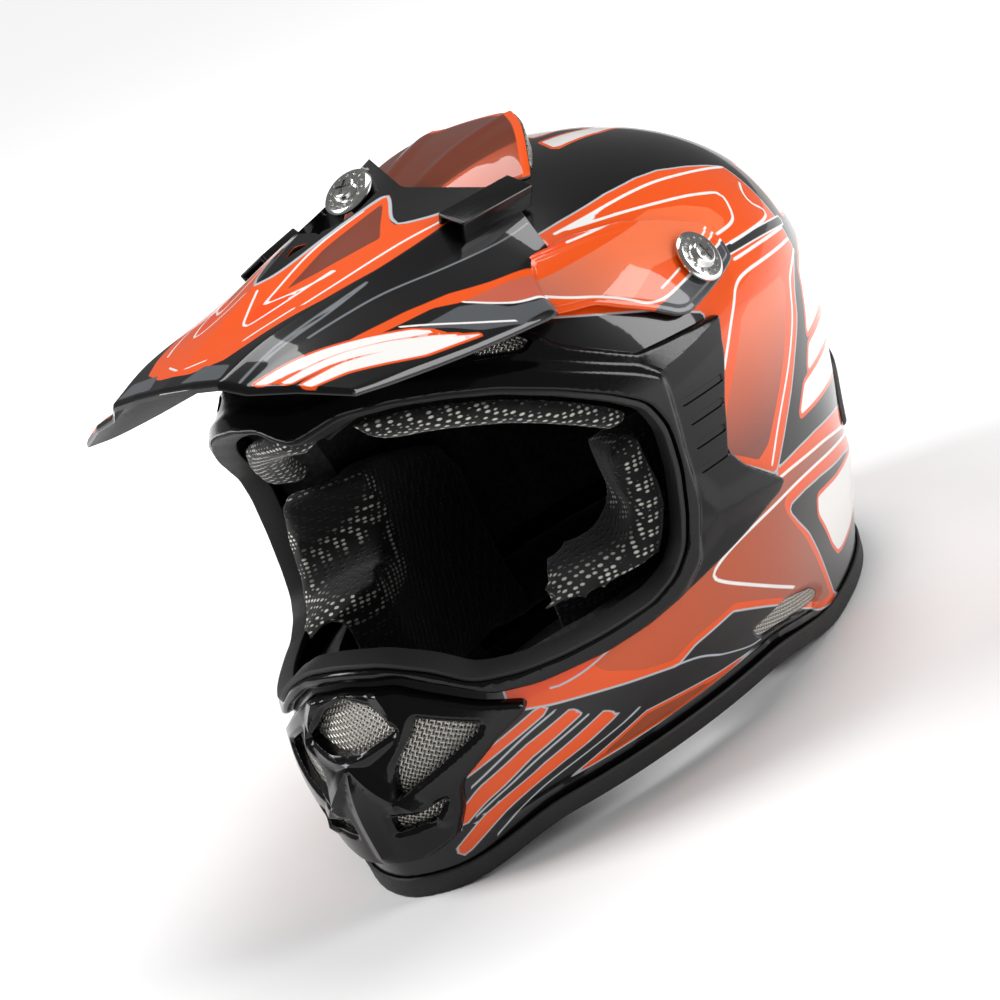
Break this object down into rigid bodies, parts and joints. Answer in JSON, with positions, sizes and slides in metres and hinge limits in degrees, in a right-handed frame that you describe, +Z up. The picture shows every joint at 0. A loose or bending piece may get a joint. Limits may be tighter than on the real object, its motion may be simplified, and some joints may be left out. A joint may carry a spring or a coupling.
{
  "type": "motocross helmet",
  "caption": "Full-face off-road helmet with a tilting sun peak, eye port surround, vented chin guard, padded lining and chin strap.",
  "frame": {"origin": "centre of the helmet's length and width, on the plane its lower rim stands on", "axes": "+Z up, -Y the way the eye port faces, +X the wearer's left"},
  "size_m": [0.2544, 0.3951, 0.2766],
  "materials": {
    "shell_paint": "gloss black shell with orange, brown and white graphics under clear lacquer",
    "orange_paint": "gloss orange lacquer with brown and white graphics",
    "gloss_black_moulding": "gloss injection moulding",
    "satin_black_moulding": "satin injection moulding",
    "rubber_trim": "matte extruded rubber",
    "expanded_polystyrene": "moulded expanded bead foam",
    "lining_fabric": "brushed knit lining",
    "spacer_mesh_fabric": "open spacer mesh over foam",
    "woven_wire": "woven wire mesh",
    "screw_aluminium": "turned and polished",
    "insert_brass": "turned",
    "plated_steel": "nickel plated",
    "webbing": "woven polyester webbing"
  },
  "bodies": {
    "helmet": {"outer_shell": "shell_paint", "eyeport_surround": "gloss_black_moulding", "eyeport_seal": "rubber_trim", "mouthpiece": "gloss_black_moulding", "mouth_mesh_upper_left": "woven_wire", "mouth_mesh_upper_right": "woven_wire", "mouth_mesh_lower_left": "woven_wire", "mouth_mesh_lower_right": "woven_wire", "mouth_mesh_center": "woven_wire", "brow_vent_mesh_left": "woven_wire", "brow_vent_mesh_right": "woven_wire", "side_vent_mesh_left": "woven_wire", "side_vent_mesh_right": "woven_wire", "rim_trim": "rubber_trim", "crown_vent_cover": "orange_paint", "crown_vent_mesh": "woven_wire", "rear_vent_cover": "satin_black_moulding", "screw_washer_left": "rubber_trim", "screw_washer_right": "rubber_trim", "screw_washer_top": "rubber_trim", "screw_insert_left": "insert_brass", "screw_insert_right": "insert_brass", "screw_insert_top": "insert_brass", "crown_impact_liner": "expanded_polystyrene", "chin_impact_liner_left": "expanded_polystyrene", "chin_impact_liner_right": "expanded_polystyrene", "cheek_foam_left": "expanded_polystyrene", "cheek_foam_right": "expanded_polystyrene", "crown_pad": "lining_fabric", "neck_roll": "lining_fabric", "brow_pad": "spacer_mesh_fabric", "cheek_pad_left": "spacer_mesh_fabric", "cheek_pad_right": "spacer_mesh_fabric", "strap_rivet_left": "plated_steel", "strap_rivet_right": "plated_steel", "strap_snap": "plated_steel", "chin_strap_left": "webbing", "chin_strap_right": "webbing"},
    "peak": {"peak": "orange_paint", "peak_scoop_left": "gloss_black_moulding", "peak_scoop_right": "gloss_black_moulding"},
    "peak_screw_left": {"peak_screw_left": "screw_aluminium"},
    "peak_screw_right": {"peak_screw_right": "screw_aluminium"},
    "peak_screw_top": {"peak_screw_top": "screw_aluminium"},
    "d_ring_lower": {"d_ring_lower": "plated_steel"},
    "d_ring_upper": {"d_ring_upper": "plated_steel"}
  },
  "joints": [
    {"name": "peak_tilt", "type": "hinge", "parent": "helmet", "child": "peak", "pos_m": [0, 0.0075, 0.191], "axis": [-1, 0, 0], "range_deg": [0, 8]},
    {"name": "screw_left_turn", "type": "hinge", "parent": "helmet", "child": "peak_screw_left", "pos_m": [0.11454, 0.00829, 0.191], "axis": [0.9055, -0.0543, 0.4209], "continuous": true},
    {"name": "screw_right_turn", "type": "hinge", "parent": "helmet", "child": "peak_screw_right", "pos_m": [-0.11454, 0.00829, 0.191], "axis": [-0.9055, -0.0543, 0.4209], "continuous": true},
    {"name": "screw_top_turn", "type": "hinge", "parent": "helmet", "child": "peak_screw_top", "pos_m": [0, -0.0435, 0.266], "axis": [0, -0.5572, 0.8304], "continuous": true},
    {"name": "d_ring_upper_swing", "type": "hinge", "parent": "helmet", "child": "d_ring_upper", "pos_m": [0.042, 0.0035, 0.014], "axis": [0, 1, 0], "range_deg": [0, 60]},
    {"name": "d_ring_lower_swing", "type": "hinge", "parent": "helmet", "child": "d_ring_lower", "pos_m": [0.038, 0.0035, 0.0106], "axis": [0, 1, 0], "range_deg": [0, 60]}
  ],
  "couplings": [
    {"joint": "d_ring_lower_swing", "follows": "d_ring_upper_swing", "ratio": 1}
  ]
}
